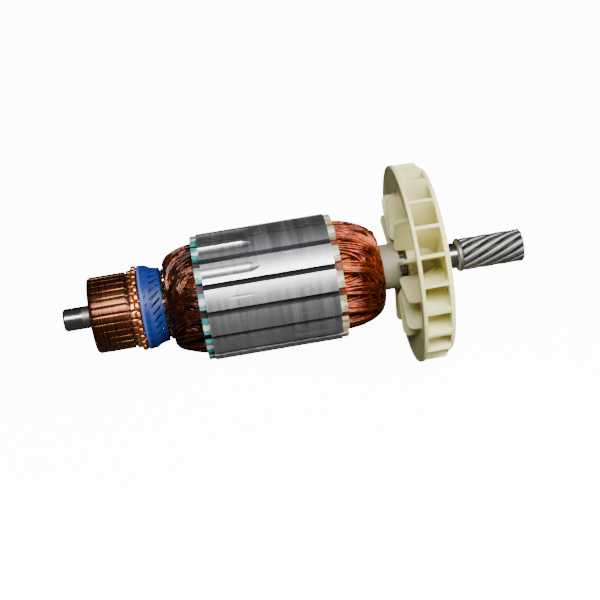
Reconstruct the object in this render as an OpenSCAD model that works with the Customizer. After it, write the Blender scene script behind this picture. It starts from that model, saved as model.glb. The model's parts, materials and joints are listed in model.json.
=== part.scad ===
// Armature of a small universal motor: shaft, commutator, slotted core, windings, fan and helical pinion.
// Millimetres. Each piece is drawn along +Z, the shaft's axis, from the commutator end of the shaft at Z 0,
// and is then laid down as the armature rests: on the fan's rim and the near edge of the core.

/* [Shaft] */
// Diameter of the bearing journal at the commutator end
journal_d = 8; // [5:0.5:9]
// Length of that journal
journal_l = 9.8; // [5:0.1:14]
// Diameter of the shaft under the commutator, the core and the fan
shaft_d = 10; // [9.5:0.1:10.5]
// Diameter of the bearing seat between the fan and the pinion
bearing_seat_d = 9; // [7:0.5:9.4]
// Length of that bearing seat
bearing_seat_l = 7.1; // [5:0.1:12]
// Diameter of the shaft's end inside the pinion
pinion_seat_d = 6; // [4:0.1:6.4]
// Chamfer on the shaft's ends
shaft_chamfer = 0.6; // [0.2:0.1:1]
// Mouth diameter of the centre drillings in the shaft's ends
centre_d = 2.6; // [1.5:0.1:3.4]
// Radial clearance in the model between pieces that are pressed together
fit = 0.02; // [0.01:0.01:0.05]

/* [Commutator] */
// Bare shaft between the journal and the commutator
comm_gap = 0.2; // [0.2:0.1:4]
// Diameter of the brush track
comm_d = 26.8; // [25:0.2:28]
// Length of the brush track
track_l = 13.1; // [10:0.1:16]
// Number of copper bars
bar_count = 30; // [28:2:32]
// Radial depth of the bars
bar_depth = 4.4; // [3:0.1:5]
// Thickness of the mica between the bars
mica_w = 0.5; // [0.3:0.05:0.7]
// How far the mica is undercut below the track
undercut = 0.6; // [0.3:0.1:1]
// Radius on the outer edge of the bars at the free end
bar_edge_r = 1.4; // [0.6:0.1:2]
// Width of the turned groove between the track and the risers
relief_w = 0.9; // [0.5:0.1:1.2]
// Depth of that groove
relief_depth = 0.7; // [0.4:0.1:1]
// Length of the risers that carry the hooks
riser_l = 3.5; // [3:0.1:4]
// Height of the risers above the track
riser_h = 0.2; // [0.1:0.1:0.5]
// Width of a hook around the shaft
hook_w = 2; // [1.3:0.1:2]
// Thickness of the hook's strap
hook_t = 0.65; // [0.5:0.05:0.8]
// Height of the hook's eye, which the lead passes through
hook_eye = 0.8; // [0.8:0.05:1]
// Outer diameter of the steel bush in the commutator
bush_d = 13; // [12:0.2:14]
// Turn of the bars about the shaft
bar_phase = 9.5; // [0:0.1:12]

/* [Leads and band] */
// Diameter of a lead from the windings to a hook
lead_d = 0.65; // [0.5:0.05:0.7]
// How far the leads sweep around the shaft, in degrees
lead_sweep = 34; // [10:1:50]
// Largest diameter of the moulded band over the leads
band_d = 29.8; // [29.6:0.1:30.6]
// Diameter of the band at its end by the windings
band_neck_d = 26; // [25.6:0.1:26.6]
// Length of the band's raised rim
band_rim_l = 3; // [1.5:0.1:3]
// Length of the band
band_l = 7.7; // [7:0.1:7.9]
// Width of the slanting slits in the band
band_slit_w = 0.55; // [0.4:0.05:1]
// Length of these slits along the shaft
band_slit_l = 3.2; // [2:0.1:3.6]
// Diameter of the binding cord
cord_d = 0.6; // [0.5:0.05:0.65]
// Turns of binding cord
cord_turns = 3; // [1:1:3]

/* [Core] */
// Outer diameter of the laminated core
core_d = 44.5; // [43:0.5:46]
// Length of the core
core_l = 44.7; // [30:0.5:60]
// Space along the shaft between the hooks and the core
lead_space = 22.4; // [22.4:0.1:26]
// Number of slots
slot_count = 15; // [14:1:16]
// Width of the slots' mouths
mouth_w = 2; // [1.4:0.1:2.6]
// Width of the teeth
tooth_w = 3.6; // [3.2:0.1:4]
// Thickness of the teeth's tips
tip_t = 1.9; // [1.5:0.1:2.2]
// Diameter across the floors of the slots
floor_d = 25; // [24:0.2:26]
// Thickness of the slot liners
liner_t = 0.25; // [0.15:0.05:0.35]
// How far the liners stand out of the core
liner_cuff = 1.6; // [1:0.1:2]
// Thickness of the wedges that close the slots
wedge_t = 0.6; // [0.4:0.1:0.8]
// Turn of the slots about the shaft
slot_phase = 5; // [0:0.5:24]

/* [Balance grooves] */
// Radius of the milling cutter's nose
cutter_r = 3; // [2:0.1:4]
// Depth of the deep grooves
groove_deep = 0.75; // [0.3:0.05:1]
// Depth of the shallow grooves
groove_shallow = 0.06; // [0.04:0.01:0.2]
// Length of the grooves' tapered run-out
groove_runout = 4; // [2:0.5:6]

/* [End insulators] */
// Thickness of the end insulators' plates
plate_t = 0.8; // [0.5:0.1:1]
// Length of the blocks on the teeth's tips
block_l = 2.3; // [1.5:0.1:3]
// Width of these blocks around the shaft
block_w = 5.6; // [4:0.1:6]
// How far the blocks lie below the core's surface
block_drop = 0.6; // [0.2:0.05:1]
// Radial height of the blocks
block_h = 2.2; // [1.5:0.1:2.4]
// Width of the notch in each block at the fan's end
notch_w = 0.7; // [0.4:0.1:1]

/* [Windings] */
// Reach of the end turns past the slots at the commutator's end
turns_l_comm = 9.6; // [8:0.1:9.6]
// Reach of the end turns past the slots at the fan's end
turns_l_fan = 14.3; // [12:0.1:15.2]
// Diameter over the end turns at the slots
turns_d = 39.6; // [39:0.1:40]
// Diameter through the middle of the end turns' noses at the commutator's end
nose_d_comm = 26.4; // [26:0.1:28]
// Diameter through the middle of the end turns' noses at the fan's end
nose_d_fan = 21.8; // [21.7:0.1:24]
// Sweep of one leg around the shaft at the commutator's end, in degrees
leg_sweep_comm = 44; // [20:1:50]
// Sweep of one leg around the shaft at the fan's end, in degrees
leg_sweep_fan = 60; // [40:1:70]
// Thickness of a coil's bundle at its nose
bundle_t = 2.4; // [2:0.05:2.5]
// Share of the space around the shaft that the bundles fill
bundle_fill = 0.86; // [0.7:0.01:0.9]

/* [Insulating sleeve] */
// Outer diameter of the moulded sleeve between the shaft and the core
sleeve_d = 16.1; // [15:0.1:16.3]
// Bare sleeve between the end turns and the sleeve's end
sleeve_out = 6.7; // [4:0.1:10]

/* [Fan] */
// Space along the shaft between the sleeve and the fan's rim
fan_gap = 1.9; // [1.5:0.1:4]
// Outer diameter of the fan
fan_d = 70.2; // [62:0.2:76]
// Width of the fan's rim ring
rim_w = 1.3; // [1:0.1:2]
// Width of the fan from its rim to its back
fan_w = 12; // [10:0.1:14]
// Number of vanes, of which every other one is long
vane_count = 22; // [18:2:26]
// Thickness of the vanes
vane_t = 1.1; // [0.8:0.1:1.4]
// Wall of the fan's ring and back plate
fan_wall = 1.2; // [0.9:0.1:1.5]
// Diameter of the fan's inlet
inlet_d = 52; // [46:0.5:56]
// How far the ring dips towards the inlet
dish = 1.1; // [0.4:0.1:1.5]
// Diameter over the paddles in the inlet
paddle_d = 51; // [44:0.5:51.4]
// How far the paddles stand out of the rim
paddle_out = 3.3; // [1:0.1:4]
// Radius of the paddles' corners
paddle_r = 2.4; // [1:0.1:3]
// Clearance between the paddles and the sleeve
paddle_clear = 1.1; // [0.6:0.1:2]
// Diameter of the fan's hub
hub_d = 16.4; // [14:0.2:17]
// Diameter of the flat of the back plate
back_d = 59.6; // [52:0.2:61]
// Turn of the vanes about the shaft
vane_phase = 22.1; // [0:0.1:33]

/* [Pinion] */
// Outer diameter of the collar between the bearing and the pinion
collar_d = 11.9; // [10:0.1:13]
// Length of the collar
collar_l = 1.8; // [1:0.1:3]
// Number of teeth
tooth_count = 10; // [8:1:11]
// Tip diameter of the teeth
tip_d = 11.5; // [11:0.1:12]
// Root diameter of the teeth
root_d = 7.9; // [7.6:0.1:8.2]
// Width of the teeth along the shaft
pinion_l = 22.5; // [16:0.1:26]
// Lead of the left-hand helix
lead = 64; // [40:1:90]
// Turn of the pinion about the shaft
pinion_phase = 14.6; // [0:0.1:40]

/* [Hidden] */
$fn = 96;

journal_r = journal_d / 2;
shaft_r = shaft_d / 2;
comm_r = comm_d / 2;
core_r = core_d / 2;
sleeve_r = sleeve_d / 2;
fan_r = fan_d / 2;

// Stations along the shaft
comm_z = journal_l + comm_gap;
riser_z = comm_z + track_l + relief_w;
riser_end = riser_z + riser_l;
core_z = riser_end + lead_space;
core_end = core_z + core_l;
coil_over = liner_cuff + 1;
turns_start = core_z - coil_over;
turns_end = core_end + coil_over;
sleeve_z = riser_end + 0.4;
sleeve_end = turns_end + turns_l_fan + sleeve_out;
fan_z = sleeve_end + fan_gap;
fan_end = fan_z + fan_w;
collar_z = fan_end + bearing_seat_l;
pinion_z = collar_z + collar_l;
shaft_end = pinion_z + pinion_l;

// How the armature lies: the fan's rim and the near edge of the core touch the floor
lie_tilt = atan((fan_r - core_r) / (fan_z - core_z));
low_x = -(journal_r - shaft_chamfer) * sin(lie_tilt);
high_x = shaft_end * cos(lie_tilt) + tip_d / 2 * sin(lie_tilt);
rest_z = fan_r * cos(lie_tilt) - fan_z * sin(lie_tilt);

module lie_down() {
    translate([-(low_x + high_x) / 2, 0, rest_z])
        rotate([0, 90 - lie_tilt, 0])
            children();
}

module around(count, phase = 0) {
    for (i = [0 : count - 1])
        rotate([0, 0, phase + i * 360 / count])
            children();
}

// A plate of thickness t in the half plane of the shaft's axis, from an outline of [radius, z] points
module radial_plate(t) {
    rotate([90, 0, 0])
        linear_extrude(t, center = true)
            children();
}

function polar(r, a, z) = [r * cos(a), r * sin(a), z];

// A closed tube through rings of points, which all have as many points
module skin(rings) {
    n = len(rings[0]);
    last = (len(rings) - 1) * n;
    polyhedron(
        points = [for (ring = rings) each ring],
        faces = concat(
            [[for (j = [0 : n - 1]) j]],
            [for (i = [0 : len(rings) - 2], j = [0 : n - 1])
                each [[i * n + j, i * n + n + j, i * n + (j + 1) % n],
                    [i * n + n + j, i * n + n + (j + 1) % n, i * n + (j + 1) % n]]],
            [[for (j = [n - 1 : -1 : 0]) last + j]]
        )
    );
}

// ---- Shaft ----

module centre_drilling() {
    cylinder(h = centre_d, d1 = centre_d, d2 = centre_d / 2, center = false);
    cylinder(h = centre_d * 2, d = centre_d / 2);
}

module shaft() {
    color("gainsboro")
        difference() {
            rotate_extrude()
                polygon([[0, 0], [journal_r - shaft_chamfer, 0], [journal_r, shaft_chamfer],
                    [journal_r, journal_l], [shaft_r, journal_l + 0.6],
                    [shaft_r, fan_end + 0.3], [bearing_seat_d / 2, fan_end + 0.5],
                    [bearing_seat_d / 2, collar_z], [pinion_seat_d / 2, collar_z],
                    [pinion_seat_d / 2, shaft_end - shaft_chamfer],
                    [pinion_seat_d / 2 - shaft_chamfer, shaft_end], [0, shaft_end]]);
            translate([0, 0, -0.01]) centre_drilling();
            translate([0, 0, shaft_end + 0.01]) mirror([0, 0, 1]) centre_drilling();
        }
}

// ---- Commutator ----

bar_foot_r = comm_r - bar_depth;
riser_r = comm_r + riser_h;
hook_top_r = riser_r + hook_eye + hook_t;

module bar_ring_outline() {
    difference() {
        polygon([[bar_foot_r, comm_z], [comm_r, comm_z], [comm_r, riser_z - relief_w],
            [comm_r - relief_depth, riser_z - relief_w], [comm_r - relief_depth, riser_z],
            [riser_r, riser_z], [riser_r, riser_end], [bar_foot_r, riser_end]]);
        translate([comm_r - bar_edge_r, comm_z])
            difference() {
                translate([0, -1]) square([bar_edge_r + 1, bar_edge_r + 1]);
                translate([0, bar_edge_r]) circle(bar_edge_r);
            }
    }
}

// The strap leaves the riser's end, turns back over the lead and comes down on the riser
hook_l = hook_eye + 1.2;

module hook_outline() {
    low = riser_r - 0.3;
    bend = 0.45;
    eye = hook_eye / 2;
    difference() {
        polygon([[low, riser_end - hook_l], [hook_top_r - bend, riser_end - hook_l],
            [hook_top_r, riser_end - hook_l + bend], [hook_top_r, riser_end - bend],
            [hook_top_r - bend, riser_end], [low, riser_end]]);
        translate([riser_r + eye, riser_end - hook_l / 2])
            rotate(22.5)
                circle(eye / cos(22.5), $fn = 8);
    }
}

module bar_gaps(w) {
    around(bar_count, bar_phase + 180 / bar_count)
        translate([0, -w / 2, comm_z - 1]) cube([comm_r + 4, w, riser_end - comm_z + 2]);
}

module commutator_bars() {
    color("peru") {
        difference() {
            rotate_extrude() bar_ring_outline();
            bar_gaps(mica_w);
        }
        around(bar_count, bar_phase) radial_plate(hook_w) hook_outline();
    }
}

module commutator_mica() {
    color("wheat")
        around(bar_count, bar_phase + 180 / bar_count)
            translate([bar_foot_r + fit, -mica_w / 2 + fit, comm_z + bar_edge_r])
                cube([bar_depth - undercut - fit, mica_w - 2 * fit, riser_end - comm_z - bar_edge_r]);
}

module commutator_moulding() {
    color("saddlebrown")
        difference() {
            translate([0, 0, comm_z + 0.5])
                cylinder(r = bar_foot_r - fit, h = riser_end - comm_z - 0.5);
            translate([0, 0, comm_z]) cylinder(r = bush_d / 2 + fit, h = riser_end);
            translate([0, 0, comm_z])
                cylinder(r1 = bar_foot_r - 0.6, r2 = bush_d / 2, h = 1.6);
        }
}

module commutator_bush() {
    color("slategray")
        translate([0, 0, comm_z + 0.2])
            difference() {
                cylinder(d = bush_d, h = riser_end - comm_z - 0.2);
                translate([0, 0, -1]) cylinder(r = shaft_r + fit, h = riser_end);
                translate([0, 0, -0.01]) cylinder(r1 = shaft_r + 0.5, r2 = shaft_r, h = 0.5);
            }
}

// ---- Leads, band and binding ----

lead_r = lead_d / 2;
lead_gap = 0.15;
band_z = riser_end + 0.2;
band_end = band_z + band_l;
cord_z = band_end + 0.1 + cord_d / 2;
cord_end = cord_z + (cord_turns - 0.5) * cord_d;
lead_end = turns_start - turns_l_comm - 0.2;
band_bore_r = band_neck_d / 2 - 0.9;
cord_bore_r = band_bore_r - 0.3;
lead_low_r = band_bore_r - lead_gap - lead_r;
lead_cord_r = cord_bore_r - lead_gap - lead_r;
hook_z = riser_end - hook_l / 2;
eye_r = riser_r + hook_eye / 2;
gap_a = 180 / bar_count;

// Middle line of a lead as [radius, angle, z]: under the hook, out between the hooks, then under the band
lead_path = [
    [eye_r, -1.5, hook_z],
    [eye_r, gap_a * 0.75, hook_z],
    [eye_r, gap_a, hook_z + 0.5],
    [eye_r, gap_a, riser_end + 0.1],
    [eye_r - 0.7, gap_a, riser_end + 0.9],
    [lead_low_r + 0.1, gap_a, riser_end + 2.6],
    [lead_low_r, gap_a - lead_sweep * 0.3, riser_end + 4.2],
    [lead_low_r, gap_a - lead_sweep * 0.7, band_end - 0.8],
    [lead_cord_r, gap_a - lead_sweep * 0.95, band_end + 0.3],
    [lead_cord_r, gap_a - lead_sweep, lead_end]
];

function along_path(path, i) = polar(path[i][0], path[i][1], path[i][2]);
function unit(v) = v / norm(v);

module lead_wire() {
    n = len(lead_path);
    skin([for (i = [0 : n - 1])
        let (here = along_path(lead_path, i),
            ahead = along_path(lead_path, min(i + 1, n - 1)),
            behind = along_path(lead_path, max(i - 1, 0)),
            t = unit(ahead - behind),
            side = unit(cross(t, i < 2 ? [0, 0, 1] : polar(1, lead_path[i][1], 0))),
            up = cross(side, t))
        [for (k = [0 : 5]) here + lead_r * (cos(60 * k) * side + sin(60 * k) * up)]]);
}

module lead_wires() {
    color("sienna") around(bar_count, bar_phase) lead_wire();
}

module lead_band() {
    rate = lead_sweep * 0.4 / (band_end - 0.8 - riser_end - 4.2);
    slant = atan(band_neck_d / 2 * rate * PI / 180);
    color("royalblue")
        difference() {
            rotate_extrude()
                polygon([[band_d / 2 - 0.2, band_z], [band_d / 2, band_z + 0.4],
                    [band_d / 2, band_z + band_rim_l], [band_d / 2 - 1.2, band_z + band_rim_l + 1.4],
                    [band_neck_d / 2, band_end], [band_bore_r, band_end],
                    [band_bore_r, band_z + 2.8], [eye_r + lead_r + 0.15, band_z]]);
            around(bar_count, bar_phase + gap_a - lead_sweep * 0.5)
                translate([band_neck_d / 2, 0, band_end - 1.2 - band_slit_l / 2])
                    rotate([slant, 0, 0])
                        cube([6, band_slit_w, band_slit_l / cos(slant)], center = true);
        }
}

module binding_cord() {
    color("black")
        for (i = [0 : cord_turns - 1])
            translate([0, 0, cord_z + i * cord_d])
                rotate_extrude()
                    translate([cord_bore_r + cord_d / 2, 0]) circle(d = cord_d - 0.02);
}

// ---- Core ----

slot_pitch = 360 / slot_count;
floor_r = floor_d / 2;
slot_top_r = core_r - tip_t;

// Half the width of a slot between parallel-sided teeth, at radius r
function slot_half(r) = r * sin(slot_pitch / 2) - tooth_w / 2 / cos(slot_pitch / 2);

module slot_outline(low, high, gap) {
    polygon([[low, -(slot_half(low) - gap)], [high, -(slot_half(high) - gap)],
        [high, slot_half(high) - gap], [low, slot_half(low) - gap]]);
}

module laminations_outline(r, gap) {
    difference() {
        circle(r);
        circle(sleeve_r + fit);
        around(slot_count, slot_phase) {
            slot_outline(floor_r, slot_top_r, -gap);
            translate([slot_top_r - 0.1, -mouth_w / 2]) square([tip_t + 2, mouth_w]);
        }
    }
}

// A milled groove in the surface of one tooth: straight, with a run-out that comes to a point
module balance_groove(tooth, from, to, depth) {
    rotate([0, 0, slot_phase + (tooth + 0.5) * slot_pitch])
        translate([core_r - depth + cutter_r, 0, core_z]) {
            translate([0, 0, from]) cylinder(r = cutter_r, h = to - from);
            translate([0, 0, to]) cylinder(r1 = cutter_r, r2 = cutter_r - depth - 0.1, h = groove_runout);
            translate([0, 0, from - groove_runout])
                cylinder(r1 = cutter_r - depth - 0.1, r2 = cutter_r, h = groove_runout);
        }
}

module core() {
    color("silver")
        difference() {
            translate([0, 0, core_z]) linear_extrude(core_l) laminations_outline(core_r, 0);
            balance_groove(-8, 1, core_l * 0.38, groove_deep);
            balance_groove(-7, -4, core_l * 0.34, groove_deep);
            balance_groove(-6, -4, core_l * 0.37, groove_deep);
            balance_groove(-5, core_l * 0.2, core_l * 0.34, groove_shallow);
            balance_groove(-4, core_l * 0.21, core_l * 0.33, groove_shallow);
            balance_groove(-4, core_l * 0.68, core_l * 0.86, groove_shallow);
            balance_groove(-3, core_l * 0.66, core_l * 0.88, groove_deep / 2);
        }
}

// A plate with the slots cut out, and a block on each tooth that stands away from the core
module end_insulator() {
    difference() {
        union() {
            cylinder(r = slot_top_r - 0.1, h = plate_t);
            around(slot_count, slot_phase + slot_pitch / 2)
                translate([core_r - block_drop - block_h, -block_w / 2, 0]) cube([block_h, block_w, block_l]);
        }
        translate([0, 0, -1]) cylinder(r = sleeve_r + fit, h = plate_t + 2);
        translate([0, 0, -1])
            linear_extrude(block_l + 2)
                around(slot_count, slot_phase) slot_outline(floor_r, slot_top_r + 0.06, -0.06);
    }
}

module end_insulator_commutator() {
    color("lightgray")
        translate([0, 0, core_z]) mirror([0, 0, 1]) end_insulator();
}

module end_insulator_fan() {
    color("ivory")
        translate([0, 0, core_end])
            difference() {
                end_insulator();
                around(slot_count, slot_phase + slot_pitch / 2)
                    translate([slot_top_r + 0.2, block_w * 0.12, plate_t + 0.2])
                        cube([4, notch_w, block_l]);
            }
}

module slot_liners() {
    color("khaki")
        translate([0, 0, core_z - liner_cuff])
            linear_extrude(core_l + 2 * liner_cuff)
                around(slot_count, slot_phase)
                    difference() {
                        slot_outline(floor_r + fit, slot_top_r - fit, fit);
                        slot_outline(floor_r + liner_t, slot_top_r, liner_t);
                    }
}

module slot_wedges() {
    color("lavender")
        translate([0, 0, core_z])
            linear_extrude(core_l)
                around(slot_count, slot_phase)
                    slot_outline(slot_top_r - wedge_t, slot_top_r - fit, liner_t + fit);
}

module slot_coils() {
    color("sienna")
        translate([0, 0, core_z - coil_over])
            linear_extrude(core_l + 2 * coil_over)
                around(slot_count, slot_phase)
                    slot_outline(floor_r + liner_t + fit, slot_top_r - wedge_t - fit, liner_t + 2 * fit);
}

// ---- End turns ----

// One coil's end turn as a hairpin: an outer leg that slants down the dome, a nose that turns in
// towards the shaft, and an inner leg that goes back to the core. Height h runs away from the core.
module hairpin(reach, nose_d, sweep) {
    start_t = 2.9;
    layer_gap = 0.5;
    nose_r = (bundle_t + layer_gap) / 2;
    nose_h = reach - nose_r - bundle_t / 2;
    // The coil leaves the slot straight and slants more and more towards its nose
    nose_rate = 1.5 * sweep / nose_h;
    mid_start = turns_d / 2 - start_t - layer_gap / 2;
    fall = mid_start - nose_d / 2;
    // Each station is [radius, angle, height, thickness, turn of the outer face, spread, slant rate]
    outer = [for (u = [0, 0.09, 0.25, 0.45, 0.65, 0.83, 1])
        let (tilt = atan(1.5 * fall / nose_h * sqrt(u)), t = start_t - (start_t - bundle_t) * u, d = (t + layer_gap) / 2)
        [mid_start - fall * pow(u, 1.5) + d * cos(tilt), sweep * pow(u, 1.5), nose_h * u + d * sin(tilt),
            t, tilt, min(1, 4 * u), nose_rate * sqrt(u)]];
    end_tilt = outer[6][4];
    nose = [for (b = [45, 90, 135])
        [nose_d / 2 + nose_r * cos(end_tilt + b), sweep + nose_rate * b / 60,
            nose_h + nose_r * sin(end_tilt + b), bundle_t, end_tilt + b, 1, nose_rate]];
    inner = [for (i = [6 : -1 : 0])
        let (s = outer[i], d = (s[3] + layer_gap) / 2)
        [s[0] - 2 * d * cos(s[4]), 2 * sweep + 3 * nose_rate - s[1], s[2] - 2 * d * sin(s[4]),
            s[3], s[4] + 180, s[5], s[6]]];
    path = concat(outer, nose, inner);
    n = len(path);
    skin([for (i = [0 : n - 1])
        let (s = path[i],
            here = polar(s[0], s[1], s[2]),
            a = path[min(i + 1, n - 1)],
            b = path[max(i - 1, 0)],
            ends = i <= 1 || i >= n - 2,
            t = ends ? [0, 0, i <= 1 ? 1 : -1] : unit(polar(a[0], a[1], a[2]) - polar(b[0], b[1], b[2])),
            face = polar(cos(s[4]), s[1], sin(s[4])),
            side = unit(cross(t, face)),
            up = cross(side, t),
            w_slot = 2 * slot_half(s[0]) - 2 * liner_t - 0.2,
            w_free = bundle_fill * 2 * PI * s[0] / slot_count * cos(atan(s[0] * s[6] * PI / 180)),
            w = w_slot + (w_free - w_slot) * s[5])
        [for (p = [[0.5, 0], [0.34, 0.5], [-0.34, 0.5], [-0.5, 0], [-0.34, -0.5], [0.34, -0.5]])
            here + p[0] * w * side + p[1] * s[3] * up]]);
}

module end_turns_commutator() {
    color("brown")
        translate([0, 0, turns_start - 0.05])
            mirror([0, 0, 1])
                around(slot_count, slot_phase) hairpin(turns_l_comm, nose_d_comm, leg_sweep_comm);
}

module end_turns_fan() {
    color("orangered")
        translate([0, 0, turns_end + 0.05])
            around(slot_count, slot_phase) hairpin(turns_l_fan, nose_d_fan, leg_sweep_fan);
}

// ---- Insulating sleeve ----

module insulating_sleeve() {
    color("antiquewhite")
        difference() {
            translate([0, 0, sleeve_z]) cylinder(r = sleeve_r, h = sleeve_end - sleeve_z);
            translate([0, 0, sleeve_z - 1]) cylinder(r = shaft_r + fit, h = sleeve_end);
        }
}

// ---- Fan ----

module fan_ring_outline() {
    polygon([[fan_r - 0.3, fan_z], [fan_r, fan_z + 0.3], [fan_r, fan_z + rim_w],
        [inlet_d / 2, fan_z + dish + fan_wall], [inlet_d / 2, fan_z + dish], [fan_r - 0.9, fan_z]]);
}

// The back plate is flat and its edge curls forward to the ends of the vanes
module fan_back_outline() {
    curl_r = fan_r - 1.9;
    curl_z = fan_end - 2.1;
    polygon([[hub_d / 2 - 1, fan_end - fan_wall], [back_d / 2, fan_end - fan_wall],
        [curl_r - 0.9, curl_z - 0.2], [curl_r, curl_z], [back_d / 2 + 2.4, fan_end - 0.55],
        [back_d / 2, fan_end], [hub_d / 2 - 1, fan_end]]);
}

module short_vane_outline() {
    polygon([[inlet_d / 2 - 2, fan_z + dish + 0.3], [fan_r - 0.25, fan_z + 0.6],
        [fan_r - 0.35, fan_end - 2.9], [fan_r - 1.5, fan_end - 2.2], [fan_r - 2.5, fan_end - 1.6],
        [back_d / 2, fan_end - 0.6],
        [hub_d / 2 - 0.4, fan_end - 0.6]]);
}

module long_vane_outline() {
    low_r = sleeve_r + paddle_clear;
    polygon([[inlet_d / 2 - 2, fan_z + dish + 0.3], [fan_r - 0.25, fan_z + 0.6],
        [fan_r - 0.35, fan_end - 2.9], [fan_r - 1.5, fan_end - 2.2], [fan_r - 2.5, fan_end - 1.6],
        [back_d / 2, fan_end - 0.6],
        [hub_d / 2 - 1, fan_end - 0.6], [hub_d / 2 - 1, fan_z + 1.4], [low_r, fan_z + 1.4]]);
    translate([low_r + paddle_r, fan_z - paddle_out])
        square([paddle_d / 2 - low_r - 2 * paddle_r, paddle_out + 2]);
    translate([low_r, fan_z - paddle_out + paddle_r])
        square([paddle_d / 2 - low_r, paddle_out - paddle_r + 2]);
    translate([low_r + paddle_r, fan_z - paddle_out + paddle_r]) circle(paddle_r);
    translate([paddle_d / 2 - paddle_r, fan_z - paddle_out + paddle_r]) circle(paddle_r);
}

module fan() {
    color("beige")
        difference() {
            union() {
                rotate_extrude() fan_ring_outline();
                rotate_extrude() fan_back_outline();
                translate([0, 0, fan_z + 1]) cylinder(d = hub_d, h = fan_w - 1);
                around(vane_count / 2, vane_phase) radial_plate(vane_t) long_vane_outline();
                around(vane_count / 2, vane_phase + 360 / vane_count)
                    radial_plate(vane_t) short_vane_outline();
            }
            translate([0, 0, fan_z - 5]) cylinder(r = shaft_r + fit, h = fan_w + 10);
        }
}

// ---- Pinion ----

module pinion_collar() {
    color("darkgray")
        rotate_extrude()
            polygon([[pinion_seat_d / 2 + fit, collar_z + fit], [collar_d / 2 - 0.6, collar_z + fit],
                [collar_d / 2, collar_z + 0.6], [collar_d / 2, pinion_z - 0.4],
                [collar_d / 2 - 0.4, pinion_z - fit], [pinion_seat_d / 2 + fit, pinion_z - fit]]);
}

// Points of one tooth, from the middle of a gap to the next: root, flank, tip, flank
function tooth_points(i) = let (
        p = 360 / tooth_count,
        root = root_d / 2,
        tip = tip_d / 2,
        shape = [[root, 0.06], [root + 0.25, 0.13], [(root + tip) / 2, 0.2], [tip - 0.3, 0.265],
            [tip, 0.31], [tip, 0.69], [tip - 0.3, 0.735], [(root + tip) / 2, 0.8], [root + 0.25, 0.87],
            [root, 0.94]])
    [for (q = shape) [q[0] * cos(p * (i + q[1])), q[0] * sin(p * (i + q[1]))]];

module pinion() {
    color("gray")
        difference() {
            translate([0, 0, pinion_z])
                rotate([0, 0, pinion_phase])
                    linear_extrude(pinion_l - shaft_chamfer, twist = 360 * (pinion_l - shaft_chamfer) / lead,
                            slices = 16)
                        polygon([for (i = [0 : tooth_count - 1]) each tooth_points(i)]);
            translate([0, 0, pinion_z - 1]) cylinder(r = pinion_seat_d / 2 + fit, h = pinion_l + 2);
        }
}

lie_down() shaft();
lie_down() commutator_bars();
lie_down() commutator_mica();
lie_down() commutator_moulding();
lie_down() commutator_bush();
lie_down() lead_wires();
lie_down() lead_band();
lie_down() binding_cord();
lie_down() core();
lie_down() end_insulator_commutator();
lie_down() end_insulator_fan();
lie_down() slot_liners();
lie_down() slot_wedges();
lie_down() slot_coils();
lie_down() end_turns_commutator();
lie_down() end_turns_fan();
lie_down() insulating_sleeve();
lie_down() fan();
lie_down() pinion_collar();
lie_down() pinion();
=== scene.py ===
"""Armature of a small universal motor: commutator, wound core, fan and pinion on one shaft."""

import json
import math

import bmesh
import bpy
from mathutils import Matrix, Vector

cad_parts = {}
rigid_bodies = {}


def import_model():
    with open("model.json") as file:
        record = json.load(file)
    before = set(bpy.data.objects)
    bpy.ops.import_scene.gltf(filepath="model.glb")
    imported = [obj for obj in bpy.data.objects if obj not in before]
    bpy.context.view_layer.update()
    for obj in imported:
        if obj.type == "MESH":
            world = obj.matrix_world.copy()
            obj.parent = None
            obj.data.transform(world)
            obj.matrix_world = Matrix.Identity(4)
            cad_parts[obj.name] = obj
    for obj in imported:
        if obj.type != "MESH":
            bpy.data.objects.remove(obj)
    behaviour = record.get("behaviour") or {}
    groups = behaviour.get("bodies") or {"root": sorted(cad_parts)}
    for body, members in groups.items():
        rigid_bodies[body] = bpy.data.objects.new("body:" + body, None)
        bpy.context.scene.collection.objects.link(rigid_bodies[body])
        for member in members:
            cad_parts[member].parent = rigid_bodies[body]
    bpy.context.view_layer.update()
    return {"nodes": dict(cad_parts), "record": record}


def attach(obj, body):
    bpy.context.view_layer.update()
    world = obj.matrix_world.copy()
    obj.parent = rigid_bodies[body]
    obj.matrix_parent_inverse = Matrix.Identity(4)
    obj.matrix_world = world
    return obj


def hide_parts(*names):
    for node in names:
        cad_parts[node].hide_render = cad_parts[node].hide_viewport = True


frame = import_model()
NODES = frame["nodes"]
MM = 0.001
BODY = "root"

# ---------------------------------------------------------------- sizes, in millimetres along the shaft

SHAFT_L = 163.5
SHAFT_CHAMFER = 0.6
JOURNAL_R = 4.0
WORN_FROM = 6.3
COMM_Z = 10.0
COMM_R = 13.4
RISER_Z = 24.0
RISER_END = 27.5
RISER_R = 13.6
BAR_COUNT = 30
BAR_PHASE = 9.5
BAND_Z = 27.7
BAND_END = 35.4
BAND_SLANT = 4.1
CORD_Z = 35.5
CORD_R = 0.37
CORE_Z = 49.9
CORE_END = 94.6
MID_CORE = 70.0
CORE_R = 22.25
SLOT_COUNT = 15
SLOT_PHASE = 5.0
FAN_Z = 120.1
FAN_R = 35.1
PINION_Z = 141.0
PINION_TIP = 5.75
PINION_ROOT = 3.95
PINION_BORE_R = 3.02
TOOTH_COUNT = 10
LEAD = 64.0
PINION_PHASE = 14.6
TOOTH_SLICES = 44

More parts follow.
